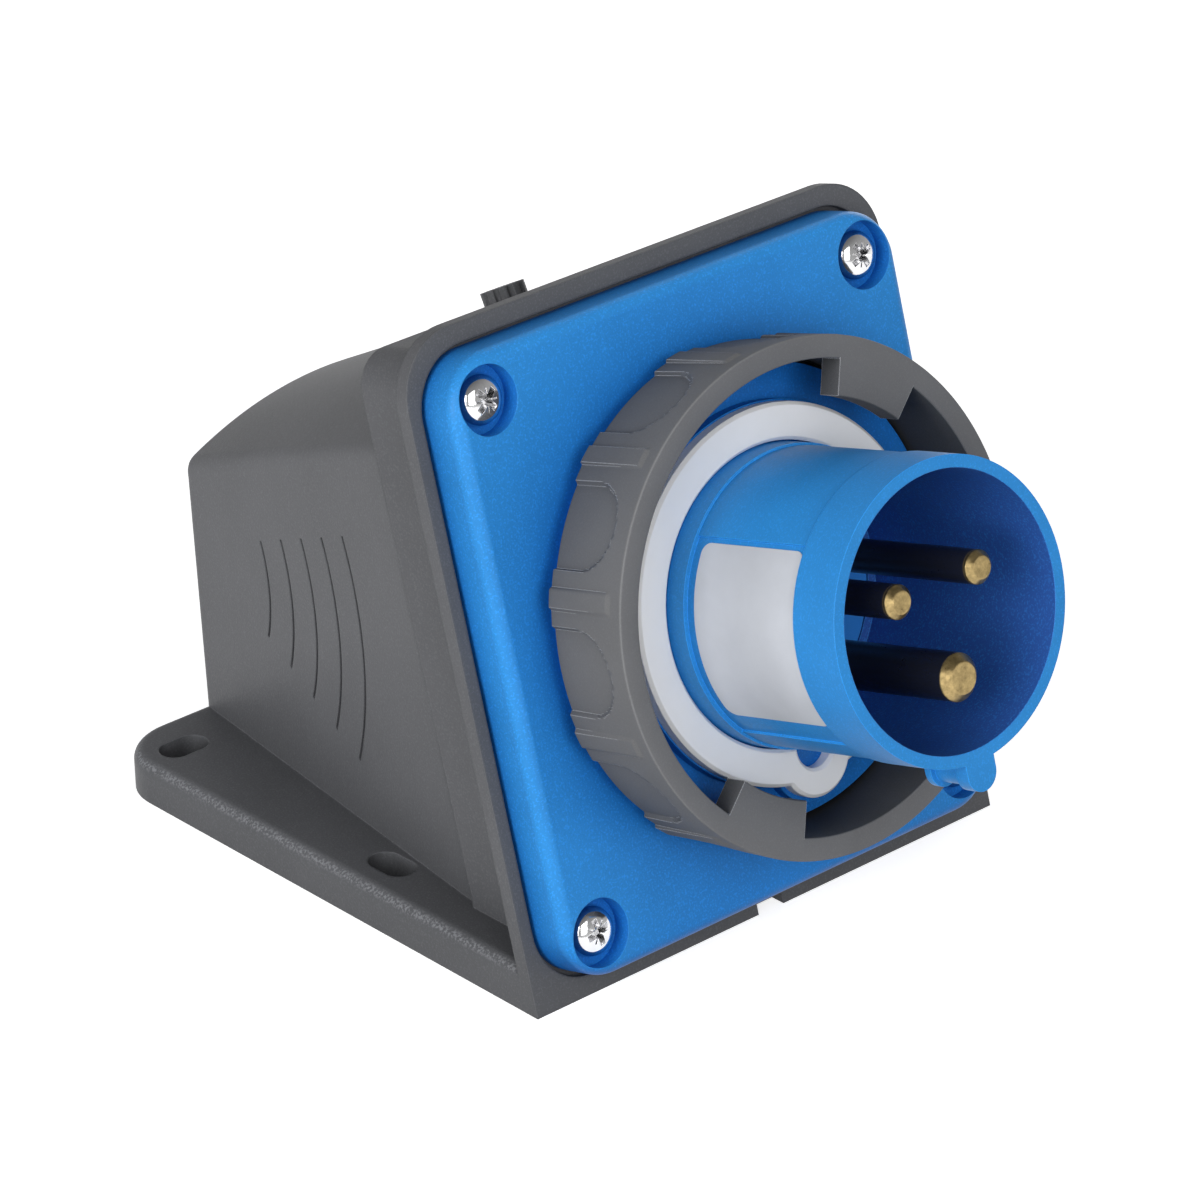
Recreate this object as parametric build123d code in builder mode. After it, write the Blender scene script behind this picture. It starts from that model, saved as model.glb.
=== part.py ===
"""Angled wall inlet: moulded wall box, face plate with shroud and pins, coupling ring, cable gland."""
from math import asin, cos, degrees, radians, sin, tan
import os

from build123d import *

os.makedirs("parts", exist_ok=True)

# Wall plate
base_width = 92.1
base_depth = 99.7
base_thickness = 6.6
base_rear_corner = 10.0
base_edge_round = 2.0
slot_width = 5.2
slot_length = 8.4
rear_slot_inset_x = 7.85
rear_slot_inset_y = 9.05
front_slot_inset = 6.95
front_slot_y = -9.8
drain_width = 5.0
drain_height = 1.6
drain_depth = 12.0

# Inclined face: the tilt leans it back from the wall normal
face_tilt = 15.55
frame_height = 100.5
frame_thickness = 2.4
frame_corner = 10.0
face_wall = 6.0
recess_depth = 1.5
recess_clearance = 0.8

# Collar and tapered body
wall = 2.6
collar_inset = 7.15
collar_drop = 4.6
collar_depth = 19.5
collar_corner = 5.5
body_step = 0.9
body_draft = 8.45
crown_drop = 1.6
crown_rear_height = 55.7
roof_radius = 66.0
eave_round = 3.0
rear_edge_round = 2.2
opening_inset_x = 5.7
opening_inset_y = 4.2
face_opening_corner = 6.0

# Side grooves
groove_count = 5
groove_pitch = 6.7
groove_radius = 24.2
groove_half_height = 8.2
groove_growth = 2.65
groove_width = 0.55
groove_deep = 0.4
groove_height = 35.6
groove_centre_setback = 1.2
groove_facing = 180.0

# Face plate
plate_margin = 3.0
plate_foot = 3.7
plate_corner = 8.4
plate_front = 6.3
plate_edge_round = 2.0
plate_wall = 2.8
screw_inset_x = 6.55
screw_inset_y = 6.8
screw_recess_radius = 5.0
screw_recess_depth = 3.0
screw_boss_radius = 4.3
screw_boss_depth = 15.0
outer_boss_depth = 8.5

# Neck and boss that carry the coupling ring and the face seal
shoulder_radius = 33.5
shoulder_front = 9.1
neck_radius = 30.3
retainer_radius = 33.4
retainer_rear = 11.8
retainer_front = 13.4
boss_radius = 28.0
boss_front = 15.4
lobe_half_width = 6.9
lobe_reach = 31.4

# Shroud
shroud_outer = 22.0
shroud_inner = 20.1
shroud_front = 52.0
shroud_band = 8.4
barrel_step = 0.35
panel_step = 0.35
panel_start = 138.5
panel_end = 224.5
panel_foot = 20.6
tube_rear = -12.0
tube_wall = 2.4
socket_floor = 14.5
ledge_width = 1.4
ledge_thickness = 1.6

# Key on the shroud
key_half_width = 2.75
key_reach = 26.4
key_front_thickness = 2.4
key_length = 8.8
key_neck_half_width = 1.9
key_neck_reach = 25.7

# Face seal
seal_front = 17.6
seal_inner = 22.25
seal_outer = 27.75
seal_lobe_half_width = 6.5
seal_lobe_reach = 30.6
seal_notch_half_width = 3.4
seal_notch_reach = 26.2
seal_edge = 0.5

# Coupling ring
ring_outer = 37.6
ring_inner = 34.2
ring_rear = 9.4
ring_front = 25.3
ring_taper = 1.1
ring_edge = 0.4
ring_lip_front = 11.4
ring_running_gap = 0.35
lug_inner = 28.85
lug_span = 24.8
lug_angle = 57.2
lug_thickness = 3.8
ridge_count = 11
ridge_phase = 98.0
ridge_width = 3.2
ridge_height = 0.15
ridge_front = 23.0
scallop_radius = 6.5
scallop_deep = 0.5
scallop_setback = 5.6
ring_turn = 45.0
stop_span = 8.0
stop_angle = -90.0
stop_height = 1.5

# Contacts
contact_circle = 9.07
contact_drop = 0.6
earth_diameter = 7.0
line_diameter = 5.0
contact_shoulder = 0.4
contact_tip_bevel = 0.17
earth_tip = 52.0
line_tip = 51.2
terminal_length = 15.0
terminal_diameter = 8.6
wire_hole = 3.2
terminal_screw_diameter = 3.4

# Contact carrier
carrier_clearance = 0.3
carrier_flange_radius = 22.4
carrier_flange_thickness = 3.0
carrier_screw_x = 24.4
carrier_ear_radius = 3.4
carrier_screw_diameter = 2.9
carrier_screw_length = 9.0
carrier_screw_head = 5.4

# Label
label_thickness = 0.15
label_start = 140.7
label_end = 212.5
label_foot = 22.2
label_front = 43.3
label_corner = 1.6

# Flange gasket
gasket_width = 2.2
gasket_depth = 1.4
gasket_inset = 0.9

# Face plate screws
screw_diameter = 4.0
screw_length = 16.0
screw_head_diameter = 7.6
screw_head_height = 2.6
screw_head_bevel = 0.7
screw_head_slope = 1.4
cross_span = 4.4
cross_width = 0.95
cross_depth = 1.5

# Roof plug
plug_diameter = 6.9
plug_head_height = 2.6
plug_setback = 13.2
plug_rib_count = 10
plug_rib_depth = 0.5
plug_shank_diameter = 4.2
plug_shank_length = 7.0
plug_boss_radius = 4.6
plug_boss_height = 0.3
plug_seal_thickness = 0.4

# Cable gland in the rear wall
gland_height = 30.0
gland_thread_diameter = 20.0
gland_thread_length = 9.0
gland_hex = 24.0
gland_hex_thickness = 5.0
gland_spigot_diameter = 18.0
gland_spigot_length = 6.0
gland_bore = 13.0
gland_nut_length = 11.0
gland_nut_mouth = 12.0
gland_cable_bore = 9.0
gland_nut_wall = 2.0
gland_washer_thickness = 1.2
locknut_hex = 26.0
locknut_thickness = 4.0
fit_gap = 0.1

# Sizes that follow the wall plate and the frame
axis_height = frame_height / 2
collar_half_width = base_width / 2 - collar_inset
collar_height = frame_height - collar_drop
crown_front_height = collar_height - crown_drop
plate_half_width = base_width / 2 - plate_margin
plate_half_height = axis_height - plate_foot
screw_x = plate_half_width - screw_inset_x
screw_y = plate_half_height - screw_inset_y
face_opening_half_width = screw_x - opening_inset_x
face_opening_half_height = screw_y - opening_inset_y
rear_slot_x = base_width / 2 - rear_slot_inset_x
rear_slot_y = base_depth / 2 - rear_slot_inset_y
front_slot_x = base_width / 2 - front_slot_inset

# Directions of the inclined face
tilt = radians(face_tilt)
across = Vector(1, 0, 0)
up_face = Vector(0, sin(tilt), cos(tilt))
out_of_face = Vector(0, -cos(tilt), sin(tilt))
face_foot = Vector(0, -base_depth / 2, 0)
axis_foot = face_foot + up_face * axis_height
inlet_axis = Axis(axis_foot, out_of_face)
inlet_plane = Plane(origin=axis_foot, x_dir=across, z_dir=out_of_face)
# Sketches on the turning plane have the radius along x and the distance from the frame's face along y
turning_plane = Plane(origin=axis_foot, x_dir=across, z_dir=up_face * -1)
# The roof is part of a round barrel along its crown line, which falls from the collar to the rear wall
crown_front = face_foot + up_face * crown_front_height + out_of_face * -collar_depth
crown_rear = Vector(0, base_depth / 2, crown_rear_height)
crown_line = (crown_rear - crown_front).normalized()
crown_plane = Plane(origin=crown_front, x_dir=across, z_dir=crown_line)


def side_point(height, forward):
    """Point of the side view (Y, Z) at a height up the face and a distance in front of the frame's face."""
    place = face_foot + up_face * height + out_of_face * forward
    return (place.Y, place.Z)


def floor_point(level, forward):
    """Point of the side view at a level above the wall, on the plane in front of the frame's face."""
    return (-base_depth / 2 - (forward - level * sin(tilt)) / cos(tilt), level)


def face_block(half_width, height, front, rear, floor, corner):
    """Block square to the inclined face, standing on a floor level, with its two top corners rounded."""
    outline = [
        side_point(height, front),
        side_point(height, rear),
        floor_point(floor, rear),
        floor_point(floor, front),
    ]
    with BuildPart() as block:
        with BuildSketch(Plane.YZ):
            with BuildLine():
                Polyline(outline, close=True)
            make_face()
        extrude(amount=half_width, both=True)
        fillet(block.edges().filter_by(Axis((0, 0, 0), out_of_face)), corner)
    return block.part


def body_half_width(forward, inset):
    """Half width of the tapered body, which narrows away from the face."""
    return collar_half_width - body_step - inset + (forward + collar_depth) * tan(radians(body_draft))


def tapered_body(inset, front, eave_fillet, rear_fillet):
    """The body behind the collar: barrel roof, drafted sides, flat rear wall. An inset gives its hollow."""
    rear = base_depth / 2 - inset
    side_view = [
        side_point(frame_height, front),
        (rear, frame_height),
        (rear, inset),
        floor_point(inset, front),
    ]
    back = -base_depth - collar_depth
    plan = [
        (-body_half_width(front, inset), front),
        (body_half_width(front, inset), front),
        (body_half_width(back, inset), back),
        (-body_half_width(back, inset), back),
    ]
    with BuildPart() as body:
        with BuildSketch(Plane.YZ):
            with BuildLine():
                Polyline(side_view, close=True)
            make_face()
        extrude(amount=base_width, both=True)
        with BuildSketch(turning_plane):
            with BuildLine():
                Polyline(plan, close=True)
            make_face()
        extrude(amount=base_depth + frame_height, both=True, mode=Mode.INTERSECT)
        with BuildSketch(crown_plane.offset(-2 * wall)):
            with Locations((0, roof_radius)):
                Circle(roof_radius - inset)
            with Locations((0, roof_radius + frame_height)):
                Rectangle(2 * (roof_radius - inset), 2 * frame_height)
        extrude(amount=2 * base_depth, both=True, mode=Mode.INTERSECT)
        by_side = body.faces().sort_by(Axis.X)
        eaves = [face.edges().sort_by(Axis.Z)[-1] for face in (by_side[0], by_side[-1])]
        fillet(eaves, eave_fillet)
        rear_edges = body.faces().sort_by(Axis.Y)[-1].edges()
        fillet(rear_edges.sort_by(Axis.Z)[1:], rear_fillet)
    return body.part


def ring_sector(inner, outer, start, end):
    """Flat sector of a ring between two angles."""
    with BuildSketch() as sector:
        with BuildLine():
            outer_arc = CenterArc((0, 0), outer, start, end - start)
            inner_arc = CenterArc((0, 0), inner, start, end - start)
            Line(outer_arc @ 0, inner_arc @ 0)
            Line(outer_arc @ 1, inner_arc @ 1)
        make_face()
    return sector.sketch


def nose(half_width, reach):
    """Round-ended tongue that reaches down from the inlet's axis."""
    with BuildSketch() as tongue:
        with Locations((0, half_width - reach)):
            Circle(half_width)
        with Locations((0, (half_width - reach) / 2)):
            Rectangle(2 * half_width, reach - half_width)
    return tongue.sketch


# Places that several pieces share
screw_seat = plate_front - screw_recess_depth
gasket_outer_half_width = face_opening_half_width + gasket_inset + gasket_width
gasket_outer_half_height = face_opening_half_height + gasket_inset + gasket_width
tube_outer = shroud_inner + tube_wall
gland_plane = Plane(origin=(0, base_depth / 2, gland_height), x_dir=(-1, 0, 0), z_dir=(0, 1, 0))
plug_foot = crown_front + crown_line * plug_setback
plug_plane = Plane(origin=plug_foot, x_dir=across, z_dir=crown_plane.y_dir * -1)
ring_lip_inner = neck_radius + ring_running_gap
stop_start = stop_angle - stop_span / 2
stop_end = stop_angle + stop_span / 2
panel_radius = shroud_outer - barrel_step - panel_step

# Housing: wall plate, tapered body, collar and frame in one moulding
plate_outline = [
    (-base_depth / 2, 0),
    (base_depth / 2, 0),
    (base_depth / 2, base_thickness),
    floor_point(base_thickness, 0),
]
collar = face_block(collar_half_width, collar_height, 0, -collar_depth, 0, collar_corner)
frame = face_block(base_width / 2, frame_height, 0, -frame_thickness, 0, frame_corner)
collar_hollow = face_block(
    collar_half_width - wall,
    collar_height - wall,
    -face_wall,
    -collar_depth + wall,
    wall,
    collar_corner - wall,
)
body_hollow = tapered_body(wall, -face_wall - wall, eave_round / 2, rear_edge_round / 2)

with BuildPart() as inner_bosses:
    with BuildSketch(inlet_plane):
        with GridLocations(2 * screw_x, 2 * screw_y, 2, 2):
            Circle(screw_boss_radius)
    extrude(amount=-screw_boss_depth)
    add(collar, mode=Mode.INTERSECT)

with BuildPart() as housing:
    with BuildSketch(Plane.YZ):
        with BuildLine():
            Polyline(plate_outline, close=True)
        make_face()
    extrude(amount=base_width / 2, both=True)
    fillet(housing.edges().filter_by(Axis.Z), base_rear_corner)
    top_edges = housing.faces().sort_by(Axis.Z)[-1].edges().sort_by(Axis.Y)
    fillet(top_edges[1:], base_edge_round)
    add(tapered_body(0, -collar_depth, eave_round, rear_edge_round))
    add(collar)
    add(frame)
    # Bosses behind the frame, outside the collar
    with BuildSketch(inlet_plane):
        with GridLocations(2 * screw_x, 2 * screw_y, 2, 2):
            Circle(screw_boss_radius)
    extrude(amount=-outer_boss_depth)
    # Pad for the roof plug
    with BuildSketch(plug_plane.offset(-wall / 2)):
        Circle(plug_boss_radius)
    extrude(amount=wall / 2 + plug_boss_height)
    add(collar_hollow, mode=Mode.SUBTRACT)
    add(body_hollow, mode=Mode.SUBTRACT)
    add(inner_bosses.part)
    # Recess for the face plate, its opening and the gasket groove
    with BuildSketch(inlet_plane):
        RectangleRounded(
            2 * (plate_half_width + recess_clearance),
            2 * (plate_half_height + recess_clearance),
            plate_corner + recess_clearance,
        )
    extrude(amount=-recess_depth, mode=Mode.SUBTRACT)
    with BuildSketch(inlet_plane):
        RectangleRounded(2 * face_opening_half_width, 2 * face_opening_half_height, face_opening_corner)
    extrude(amount=-face_wall, mode=Mode.SUBTRACT)
    with BuildSketch(inlet_plane.offset(-recess_depth)):
        RectangleRounded(
            2 * gasket_outer_half_width,
            2 * gasket_outer_half_height,
            face_opening_corner + gasket_inset + gasket_width,
        )
        RectangleRounded(
            2 * (face_opening_half_width + gasket_inset),
            2 * (face_opening_half_height + gasket_inset),
            face_opening_corner + gasket_inset,
            mode=Mode.SUBTRACT,
        )
    extrude(amount=-gasket_depth, mode=Mode.SUBTRACT)
    with BuildSketch(inlet_plane):
        with GridLocations(2 * screw_x, 2 * screw_y, 2, 2):
            Circle(screw_diameter / 2 + fit_gap / 2)
    extrude(amount=screw_seat - screw_length - 2 * fit_gap, mode=Mode.SUBTRACT)
    # Slots that fix it to the wall
    with BuildSketch(Plane.XY):
        with Locations((-rear_slot_x, rear_slot_y), (rear_slot_x, rear_slot_y)):
            SlotOverall(slot_length, slot_width)
        with Locations((-front_slot_x, front_slot_y), (front_slot_x, front_slot_y)):
            SlotOverall(slot_length, slot_width, rotation=90)
    extrude(amount=base_thickness, mode=Mode.SUBTRACT)
    # Drain notch under the front edge
    with BuildSketch(Plane.XY):
        with Locations((0, (drain_depth - base_depth) / 2)):
            Rectangle(drain_width, drain_depth)
    extrude(amount=drain_height, mode=Mode.SUBTRACT)
    # Holes for the cable gland and the roof plug
    with BuildSketch(gland_plane):
        Circle(gland_thread_diameter / 2 + fit_gap)
    extrude(amount=-2 * wall, mode=Mode.SUBTRACT)
    with BuildSketch(plug_plane.offset(plug_boss_height)):
        Circle(plug_shank_diameter / 2 + fit_gap)
    extrude(amount=-plug_boss_height - 2 * wall, mode=Mode.SUBTRACT)
    # Shallow curved grooves on both side walls
    for side in (-1, 1):
        lean = radians(body_draft)
        wall_normal = Vector(side * cos(lean), 0, 0) - out_of_face * sin(lean)
        along_wall = Vector(0, 0, 1).cross(wall_normal).normalized() * side
        middle_depth = base_depth / 2
        middle_x = side * body_half_width(-middle_depth, 0)
        middle = face_foot + up_face * groove_height + out_of_face * -middle_depth + across * middle_x
        groove_plane = Plane(origin=middle, x_dir=along_wall, z_dir=wall_normal)
        centre = groove_plane.to_local_coords(
            Vector(middle_x, base_depth / 2 + groove_centre_setback, groove_height)
        )
        with BuildSketch(groove_plane):
            for step in range(groove_count):
                radius = groove_radius + step * groove_pitch
                swing = degrees(asin((groove_half_height + step * groove_growth) / radius))
                inner_radius = radius - groove_width / 2
                with Locations((centre.X, centre.Y)):
                    add(
                        ring_sector(
                            inner_radius,
                            inner_radius + groove_width,
                            groove_facing - swing,
                            groove_facing + swing,
                        )
                    )
        extrude(amount=-groove_deep, mode=Mode.SUBTRACT)
housing.part.label = "housing"
export_step(housing.part, "parts/housing.step")

# Face plate with neck and boss
with BuildPart() as inlet_flange:
    with BuildSketch(inlet_plane.offset(-recess_depth)):
        RectangleRounded(2 * plate_half_width, 2 * plate_half_height, plate_corner)
    extrude(amount=recess_depth + plate_front)
    front_face = inlet_flange.faces().filter_by(Axis((0, 0, 0), out_of_face)).sort_by(inlet_axis)[-1]
    fillet(front_face.edges(), plate_edge_round)
    with BuildSketch(inlet_plane.offset(-recess_depth)):
        RectangleRounded(2 * face_opening_half_width, 2 * face_opening_half_height, face_opening_corner)
    extrude(amount=recess_depth + plate_front - plate_wall, mode=Mode.SUBTRACT)
    with BuildSketch(inlet_plane):
        Circle(neck_radius - wall)
    extrude(amount=plate_front, mode=Mode.SUBTRACT)
    with BuildSketch(turning_plane):
        with BuildLine():
            Polyline(
                [
                    (shroud_outer, boss_front),
                    (boss_radius, boss_front),
                    (boss_radius, retainer_front),
                    (retainer_radius, retainer_front),
                    (retainer_radius, retainer_rear),
                    (neck_radius, retainer_rear),
                    (neck_radius, shoulder_front),
                    (shoulder_radius, shoulder_front),
                    (shoulder_radius, plate_front - plate_wall / 2),
                    (neck_radius - wall, plate_front - plate_wall),
                    (neck_radius - wall, retainer_front - wall),
                    (shroud_outer, retainer_front - wall),
                ],
                close=True,
            )
        make_face()
    revolve(axis=inlet_axis)
    # Lobe of the boss under the key
    with BuildSketch(inlet_plane.offset(retainer_front)):
        with Locations((0, lobe_half_width - lobe_reach)):
            Circle(lobe_half_width)
        Circle(shroud_outer, mode=Mode.SUBTRACT)
    extrude(amount=boss_front - retainer_front)
    # Stop rib of the coupling ring
    with BuildSketch(inlet_plane.offset(shoulder_front)):
        add(ring_sector(neck_radius - fit_gap, neck_radius + stop_height, stop_start, stop_end))
    extrude(amount=retainer_rear - shoulder_front)
    # Screw recesses and clearance holes
    with BuildSketch(inlet_plane.offset(plate_front)):
        with GridLocations(2 * screw_x, 2 * screw_y, 2, 2):
            Circle(screw_recess_radius + fit_gap)
    extrude(amount=-screw_recess_depth, mode=Mode.SUBTRACT)
    with BuildSketch(inlet_plane.offset(plate_front)):
        with GridLocations(2 * screw_x, 2 * screw_y, 2, 2):
            Circle(screw_diameter / 2 + 2 * fit_gap)
    extrude(amount=-plate_front - recess_depth, mode=Mode.SUBTRACT)
inlet_flange.part.label = "inlet_flange"
export_step(inlet_flange.part, "parts/inlet_flange.step")

# Shroud with its key, moulded onto the boss
with BuildPart() as shroud:
    with BuildSketch(turning_plane):
        with BuildLine():
            Polyline(
                [
                    (shroud_inner, tube_rear),
                    (shroud_inner, socket_floor - ledge_thickness),
                    (shroud_inner - ledge_width, socket_floor - ledge_thickness),
                    (shroud_inner - ledge_width, socket_floor),
                    (shroud_inner, socket_floor),
                    (shroud_inner, shroud_front),
                    (shroud_outer, shroud_front),
                    (shroud_outer, shroud_front - shroud_band),
                    (shroud_outer - barrel_step, shroud_front - shroud_band),
                    (shroud_outer - barrel_step, panel_foot),
                    (shroud_outer, panel_foot),
                    (shroud_outer, retainer_front - wall),
                    (tube_outer, retainer_front - wall),
                    (tube_outer, tube_rear),
                ],
                close=True,
            )
        make_face()
    revolve(axis=inlet_axis)
    # Panel for the label
    with BuildSketch(inlet_plane.offset(panel_foot)):
        add(ring_sector(panel_radius, shroud_outer + fit_gap, panel_start, panel_end))
    extrude(amount=shroud_front - shroud_band - panel_foot, mode=Mode.SUBTRACT)
    # Key
    with BuildSketch(inlet_plane.offset(shroud_front - key_front_thickness)):
        add(nose(key_half_width, key_reach))
        Circle(shroud_inner, mode=Mode.SUBTRACT)
    extrude(amount=key_front_thickness)
    with BuildSketch(inlet_plane.offset(shroud_front - key_length)):
        add(nose(key_neck_half_width, key_neck_reach))
        Circle(shroud_inner, mode=Mode.SUBTRACT)
    extrude(amount=key_length - key_front_thickness)
    with BuildSketch(inlet_plane.offset(shroud_front - key_length)):
        add(nose(key_half_width, key_reach))
        Circle(shroud_inner, mode=Mode.SUBTRACT)
    extrude(amount=key_front_thickness / 2)
    # Columns for the carrier's screws
    with BuildSketch(inlet_plane.offset(tube_rear)):
        with Locations((-carrier_screw_x, 0), (carrier_screw_x, 0)):
            Circle(carrier_ear_radius)
        Circle(tube_outer - fit_gap, mode=Mode.SUBTRACT)
    extrude(amount=plate_front - plate_wall - tube_rear)
    with BuildSketch(inlet_plane.offset(tube_rear)):
        with Locations((-carrier_screw_x, 0), (carrier_screw_x, 0)):
            Circle(carrier_screw_diameter / 2 + fit_gap / 2)
    extrude(amount=carrier_screw_length, mode=Mode.SUBTRACT)
shroud.part.label = "shroud"
export_step(shroud.part, "parts/shroud.step")

# White seal that the connector presses on
with BuildPart() as face_gasket:
    with BuildSketch(inlet_plane.offset(boss_front)):
        Circle(seal_outer)
        with Locations((0, seal_lobe_half_width - seal_lobe_reach)):
            Circle(seal_lobe_half_width)
        Circle(seal_inner, mode=Mode.SUBTRACT)
        add(nose(seal_notch_half_width, seal_notch_reach), mode=Mode.SUBTRACT)
    extrude(amount=seal_front - boss_front)
    seal_top = face_gasket.faces().filter_by(Axis((0, 0, 0), out_of_face)).sort_by(inlet_axis)[-1]
    chamfer(seal_top.edges(), seal_edge)
face_gasket.part.label = "face_gasket"
export_step(face_gasket.part, "parts/face_gasket.step")

# Flat seal between face plate and frame
with BuildPart() as flange_gasket:
    with BuildSketch(inlet_plane.offset(-recess_depth)):
        RectangleRounded(
            2 * (gasket_outer_half_width - fit_gap),
            2 * (gasket_outer_half_height - fit_gap),
            face_opening_corner + gasket_inset + gasket_width - fit_gap,
        )
        RectangleRounded(
            2 * (face_opening_half_width + gasket_inset + fit_gap),
            2 * (face_opening_half_height + gasket_inset + fit_gap),
            face_opening_corner + gasket_inset + fit_gap,
            mode=Mode.SUBTRACT,
        )
    extrude(amount=-gasket_depth)
flange_gasket.part.label = "flange_gasket"
export_step(flange_gasket.part, "parts/flange_gasket.step")

# Coupling ring with bayonet lugs, grip ridges and finger marks
with BuildPart() as finger_marks:
    for step in range(ridge_count):
        turn = radians(ridge_phase + (step + 0.5) * 360 / ridge_count)
        radial = across * cos(turn) + up_face * sin(turn)
        middle = axis_foot + out_of_face * (ring_rear + scallop_setback) + radial * ring_inner
        with BuildSketch(Plane(origin=middle, x_dir=out_of_face, z_dir=radial)):
            Circle(scallop_radius)
            with Locations((-scallop_setback, 0)):
                Rectangle(2 * scallop_setback, 2 * scallop_radius)
        extrude(amount=ring_outer - ring_inner)
    with BuildSketch(turning_plane):
        with BuildLine():
            Polyline(
                [
                    (ring_outer - ring_taper - scallop_deep, ring_rear),
                    (ring_outer - scallop_deep, ridge_front),
                    (ring_outer + ring_taper, ridge_front),
                    (ring_outer + ring_taper, ring_rear),
                ],
                close=True,
            )
        make_face()
    revolve(axis=inlet_axis, mode=Mode.INTERSECT)

with BuildPart() as bayonet_ring:
    with BuildSketch(turning_plane):
        with BuildLine():
            Polyline(
                [
                    (ring_lip_inner, ring_rear),
                    (ring_outer - ring_taper, ring_rear),
                    (ring_outer, ridge_front),
                    (ring_outer, ring_front - ring_edge),
                    (ring_outer - ring_edge, ring_front),
                    (ring_inner, ring_front),
                    (ring_inner, ring_lip_front),
                    (ring_lip_inner, ring_lip_front),
                ],
                close=True,
            )
        make_face()
    revolve(axis=inlet_axis)
    add(finger_marks.part, mode=Mode.SUBTRACT)
    # Grip ridges
    ridge_middle = (ring_inner + ring_outer) / 2 + ridge_height
    with BuildSketch(inlet_plane.offset(ring_rear)):
        with PolarLocations(ridge_middle, ridge_count, start_angle=ridge_phase):
            Rectangle(ring_outer - ring_inner, ridge_width)
    extrude(amount=ridge_front - ring_rear)
    # Inward lugs
    with BuildSketch(inlet_plane.offset(ring_front - lug_thickness)):
        for angle in (lug_angle, lug_angle + 180):
            lug_end = angle + lug_span / 2
            add(ring_sector(lug_inner, ring_inner + fit_gap, lug_end - lug_span, lug_end))
    extrude(amount=lug_thickness)
    # Window in the lip that the stop rib stands in
    with BuildSketch(inlet_plane.offset(ring_rear)):
        add(
            ring_sector(
                neck_radius,
                neck_radius + stop_height + ring_running_gap,
                stop_start - stop_span / 2,
                stop_end + stop_span / 2 + ring_turn,
            )
        )
    extrude(amount=ring_lip_front - ring_rear, mode=Mode.SUBTRACT)
bayonet_ring.part.label = "bayonet_ring"
export_step(bayonet_ring.part, "parts/bayonet_ring.step")

# Contact pins, each with a drilled terminal behind the carrier
carrier_rear = tube_rear - carrier_flange_thickness
contact_angle = radians(30)
line_x = contact_circle * cos(contact_angle)
line_y = contact_circle / 2 - contact_drop
contact_places = {
    "earth_pin": (0, -contact_circle - contact_drop, earth_diameter, earth_tip),
    "line_pin": (line_x, line_y, line_diameter, line_tip),
    "neutral_pin": (-line_x, line_y, line_diameter, line_tip),
}
terminal_screw_from_end = terminal_length / 3
for name, (x, y, diameter, tip) in contact_places.items():
    outward = (across * x + up_face * y).normalized()
    screw_origin = axis_foot + across * x + up_face * y
    screw_origin += out_of_face * (carrier_rear - terminal_length + terminal_screw_from_end)
    with BuildPart() as contact:
        with BuildSketch(inlet_plane.offset(carrier_rear)):
            with Locations((x, y)):
                Circle(diameter / 2)
        extrude(amount=tip - carrier_rear)
        chamfer(contact.edges().sort_by(inlet_axis)[-1], diameter * contact_tip_bevel)
        with BuildSketch(inlet_plane.offset(carrier_rear)):
            with Locations((x, y)):
                Circle(diameter / 2 + contact_shoulder)
        extrude(amount=socket_floor - carrier_rear)
        with BuildSketch(inlet_plane.offset(carrier_rear)):
            with Locations((x, y)):
                Circle(terminal_diameter / 2)
        extrude(amount=-terminal_length)
        with BuildSketch(inlet_plane.offset(carrier_rear - terminal_length)):
            with Locations((x, y)):
                Circle(wire_hole / 2)
        extrude(amount=2 * terminal_screw_from_end, mode=Mode.SUBTRACT)
        with BuildSketch(Plane(origin=screw_origin, x_dir=out_of_face, z_dir=outward)):
            Circle(terminal_screw_diameter / 2 + fit_gap / 2)
        extrude(amount=terminal_diameter, mode=Mode.SUBTRACT)
    contact.part.label = name
    export_step(contact.part, f"parts/{name}.step")

# Clamp screws of the terminals
with BuildPart() as terminal_screws:
    for x, y, diameter, tip in contact_places.values():
        outward = (across * x + up_face * y).normalized()
        screw_origin = axis_foot + across * x + up_face * y + outward * (wire_hole / 2)
        screw_origin += out_of_face * (carrier_rear - terminal_length + terminal_screw_from_end)
        screw_plane = Plane(origin=screw_origin, x_dir=out_of_face, z_dir=outward)
        with BuildSketch(screw_plane):
            Circle(terminal_screw_diameter / 2)
        extrude(amount=terminal_diameter / 2)
        with BuildSketch(screw_plane.offset(terminal_diameter / 2)):
            Rectangle(terminal_screw_diameter, terminal_screw_diameter / 5)
        extrude(amount=-terminal_screw_diameter / 4, mode=Mode.SUBTRACT)
terminal_screws.part.label = "terminal_screws"
export_step(terminal_screws.part, "parts/terminal_screws.step")

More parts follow.
